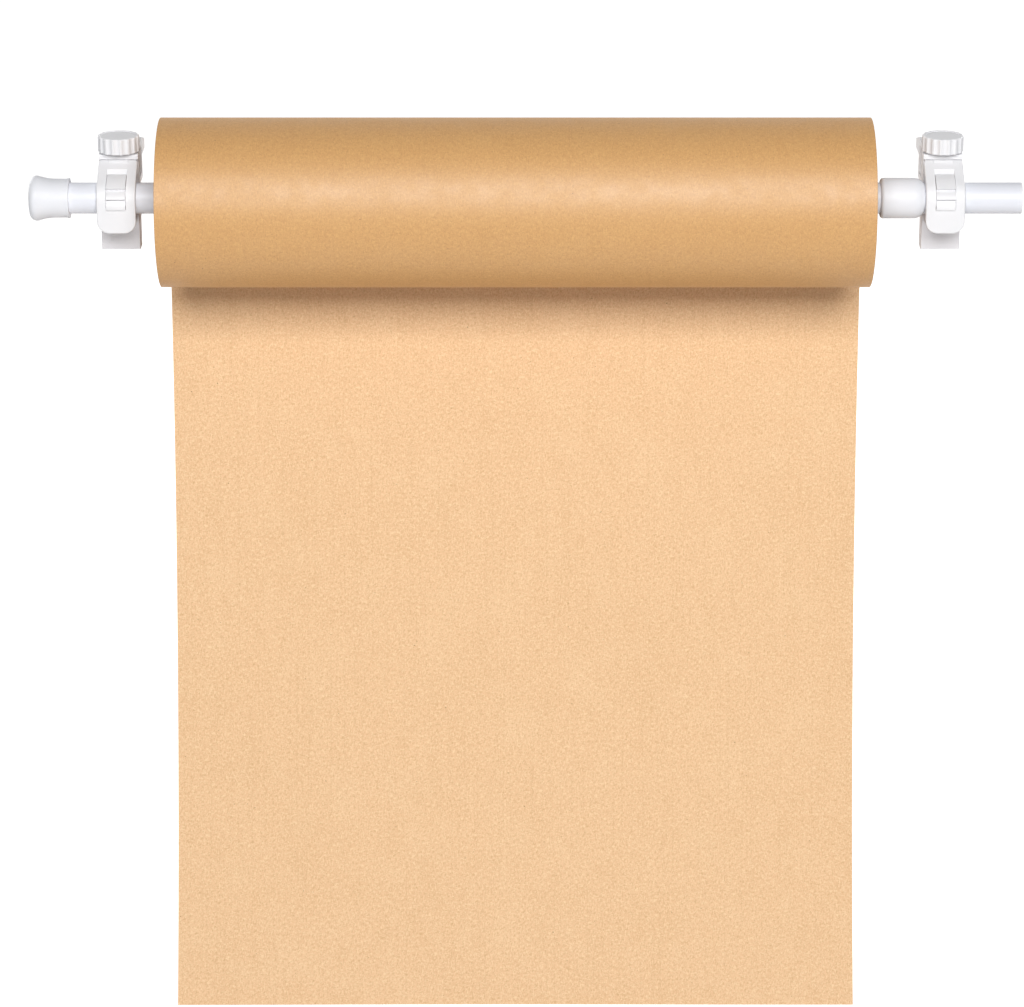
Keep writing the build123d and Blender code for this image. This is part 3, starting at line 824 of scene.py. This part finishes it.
@dataclass
class HangingSheet:
    """The paper that comes off the roll's back and hangs in a slow forward curl."""

    roll: PaperRoll
    thickness: float = 0.3 * MM
    wrap: float = math.radians(34)
    sink: float = 0.42 * MM
    columns: int = 60
    rows: int = 96
    wrap_rows: int = 12
    ripple: float = 0.7 * MM
    ripple_growth: float = 0.25
    ripple_lean: float = 1.1
    ripple_swing: float = 0.7
    waves: tuple[Wave, ...] = (Wave(3.1, 4.0, 0.6, 1.0), Wave(7.7, -9.0, 0.0, 0.5))

    def __post_init__(self) -> None:
        """Read the sheet's place from the CAD model and find the circle that it curls on."""
        low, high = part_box("paper_sheet")
        self.left, self.right = low.x, high.x
        self.top = self.roll.centre.z
        self.back = high.y - self.thickness / 2
        drop = self.top - low.z
        curl = self.back - low.y - self.thickness / 2
        self.curl_radius = (drop**2 + curl**2) / (2 * curl)
        self.curl_angle = math.asin(drop / self.curl_radius)
        self.curl_centre = Vector((0, self.back - self.curl_radius, self.top))
        self.bottom = Vector(((self.left + self.right) / 2, low.y, low.z))

    def wrap_radius(self) -> float:
        """Give the radius of the sheet's middle where it leaves the roll."""
        return self.back - self.roll.centre.y

    def build(self) -> bpy.types.Object:
        """Spin a row of points down the curl and up over the roll's back, then ripple it.

        Returns:
            The sheet.
        """
        shape = bmesh.new()
        ends = [shape.verts.new((x, self.back, self.top)) for x in (self.left, self.right)]
        edge = shape.edges.new(ends)
        bmesh.ops.subdivide_edges(shape, edges=[edge], cuts=self.columns - 1)
        row = shape.verts[:] + shape.edges[:]
        bmesh.ops.spin(
            shape, geom=row, cent=self.curl_centre, axis=X_AXIS, angle=-self.curl_angle, steps=self.rows
        )
        bmesh.ops.spin(
            shape, geom=row, cent=self.roll.centre, axis=X_AXIS, angle=self.wrap, steps=self.wrap_rows
        )
        bmesh.ops.recalc_face_normals(shape, faces=shape.faces)
        self.unroll(shape)
        self.settle(shape)
        piece = Piece("hanging_sheet", "sheet", (Finishes.sheet_painted_light,), ("paper_sheet",))
        item = piece.show(shape)
        wall = item.modifiers.new("paper_thickness", "SOLIDIFY")
        wall.thickness = self.thickness
        wall.offset = 0.0
        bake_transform(item)
        return item

    def travel(self, spot: Vector) -> float:
        """Give how far along the paper a point lies below the roll's back, negative on the wrap.

        Args:
            spot: A point of the sheet.

        Returns:
            Length along the paper in metres.
        """
        if spot.z > self.top:
            turn = math.atan2(spot.z - self.roll.centre.z, spot.y - self.roll.centre.y)
            return -turn * self.wrap_radius()
        turn = math.atan2(self.curl_centre.z - spot.z, spot.y - self.curl_centre.y)
        return turn * self.curl_radius

    def unroll(self, shape: bmesh.types.BMesh) -> None:
        """Lay the sheet flat in a UV map in metres.

        Args:
            shape: The sheet's bmesh.
        """
        layer = shape.loops.layers.uv.new("paper")
        for face in shape.faces:
            for loop in face.loops:
                spot = loop.vert.co
                loop[layer].uv = (spot.x, -self.travel(spot))

    def settle(self, shape: bmesh.types.BMesh) -> None:
        """Ease the wrap's end into the roll, and give the hanging part its slow ripples.

        Args:
            shape: The sheet's bmesh.
        """
        for vert in shape.verts:
            spot = vert.co.copy()
            down = self.travel(spot)
            if down < 0:
                share = -down / (self.wrap * self.wrap_radius())
                out = Vector((0, spot.y - self.roll.centre.y, spot.z - self.roll.centre.z)).normalized()
                vert.co -= out * self.sink * share**2
                continue
            across = (spot.x - self.left) / (self.right - self.left)
            share = min(1.0, down / self.ripple_growth) ** 2
            swing = self.ripple_swing * sum(wave.at(across, down) for wave in self.waves)
            vert.co.y -= self.ripple * share * (self.ripple_lean + swing)


@dataclass
class Lamp:
    """A soft square lamp aimed at a point."""

    name: str
    place: Triple
    aim: Triple
    size: Span
    power: float

    def build(self) -> None:
        """Add the lamp to the scene."""
        light = bpy.data.lights.new(self.name, "AREA")
        light.shape = "RECTANGLE"
        light.size, light.size_y = self.size
        light.energy = self.power
        item = bpy.data.objects.new(self.name, light)
        item.location = self.place
        item.rotation_euler = (Vector(self.aim) - Vector(self.place)).to_track_quat("-Z", "Y").to_euler()
        bpy.context.scene.collection.objects.link(item)


@dataclass
class Studio:
    """Pale floor, white surround, soft lamps and the camera."""

    floor_height: float = -0.88
    floor_size: float = 14.0
    floor_middle: float = 0.25
    floor_paint: float = 0.72
    floor_roughness: float = 0.9
    ambient: float = 0.08
    floor_lift: float = 0.97
    camera_place: Triple = (0.2525, -2.4327, 0.6487)
    camera_pitch: float = math.radians(20.086)
    lens: float = 134.99
    view_depth: float = 50.0
    lamps: tuple[Lamp, ...] = (
        Lamp("key", (0.4, -2.6, 1.4), (0.26, -0.05, -0.2), (2.2, 0.9), 84.5),
        Lamp("back_left", (-1.5, 1.9, 0.4), (0.2, 0.0, -0.15), (1.4, 1.2), 26.0),
        Lamp("back_right", (2.0, 1.9, 0.4), (0.3, 0.0, -0.15), (1.4, 1.2), 26.0),
    )

    def seen_rays(self, tree: bpy.types.NodeTree, low: float, high: float) -> Socket:
        """Give a strength that is low for light and high for what the camera and reflections see.

        Args:
            tree: Node tree to add to.
            low: Strength for lighting.
            high: Strength for what is seen.

        Returns:
            The strength's socket.
        """
        path = tree.nodes.new("ShaderNodeLightPath")
        seen = path.outputs["Is Camera Ray"]
        for name in ("Is Glossy Ray", "Is Transmission Ray"):
            either = tree.nodes.new("ShaderNodeMath")
            either.operation = "MAXIMUM"
            tree.links.new(seen, either.inputs[0])
            tree.links.new(path.outputs[name], either.inputs[1])
            seen = either.outputs[0]
        span = tree.nodes.new("ShaderNodeMapRange")
        span.inputs["To Min"].default_value = low
        span.inputs["To Max"].default_value = high
        tree.links.new(seen, span.inputs["Value"])
        return span.outputs["Result"]

    def surround(self) -> None:
        """Make the white world."""
        world = bpy.data.worlds.new("surround")
        world.use_nodes = True
        bpy.context.scene.world = world
        background = world.node_tree.nodes["Background"]
        background.inputs["Color"].default_value = (1, 1, 1, 1)
        strength = self.seen_rays(world.node_tree, self.ambient, 1.0)
        world.node_tree.links.new(strength, background.inputs["Strength"])

    def floor(self) -> None:
        """Make the pale floor."""
        shape = bmesh.new()
        bmesh.ops.create_grid(
            shape,
            x_segments=2,
            y_segments=2,
            size=self.floor_size / 2,
            matrix=Matrix.Translation((self.floor_middle, 0, self.floor_height)),
        )
        mesh = bpy.data.meshes.new("floor")
        shape.to_mesh(mesh)
        shape.free()
        paint = bpy.data.materials.new("floor_paint")
        paint.use_nodes = True
        shader = paint.node_tree.nodes["Principled BSDF"]
        shader.inputs["Base Color"].default_value = (*[self.floor_paint] * 3, 1)
        shader.inputs["Roughness"].default_value = self.floor_roughness
        shader.inputs["Emission Color"].default_value = (1, 1, 1, 1)
        lift = self.seen_rays(paint.node_tree, 0.0, self.floor_lift)
        paint.node_tree.links.new(lift, shader.inputs["Emission Strength"])
        mesh.materials.append(paint)
        item = bpy.data.objects.new("floor", mesh)
        bpy.context.scene.collection.objects.link(item)

    def camera(self) -> None:
        """Make the camera at the photograph's viewing angle."""
        data = bpy.data.cameras.new("camera")
        data.lens = self.lens
        data.clip_end = self.view_depth
        item = bpy.data.objects.new("camera", data)
        item.location = self.camera_place
        item.rotation_euler = (math.pi / 2 - self.camera_pitch, 0, 0)
        bpy.context.scene.collection.objects.link(item)
        bpy.context.scene.camera = item

    def build(self) -> None:
        """Set up the whole studio."""
        bpy.context.scene.view_settings.view_transform = "Standard"
        self.surround()
        self.floor()
        self.camera()
        for lamp in self.lamps:
            lamp.build()


def write_sizes() -> None:
    """Update the view layer."""
    bpy.context.view_layer.update()


def main() -> None:
    """Build the studio and every sub-assembly in order."""
    Studio().build()
    for side in Side:
        TableClamp(side).build()
    TelescopicRod().build()
    roll = PaperRoll()
    roll.build()
    HangingSheet(roll).build()
    write_sizes()


if __name__ == "__main__":
    main()
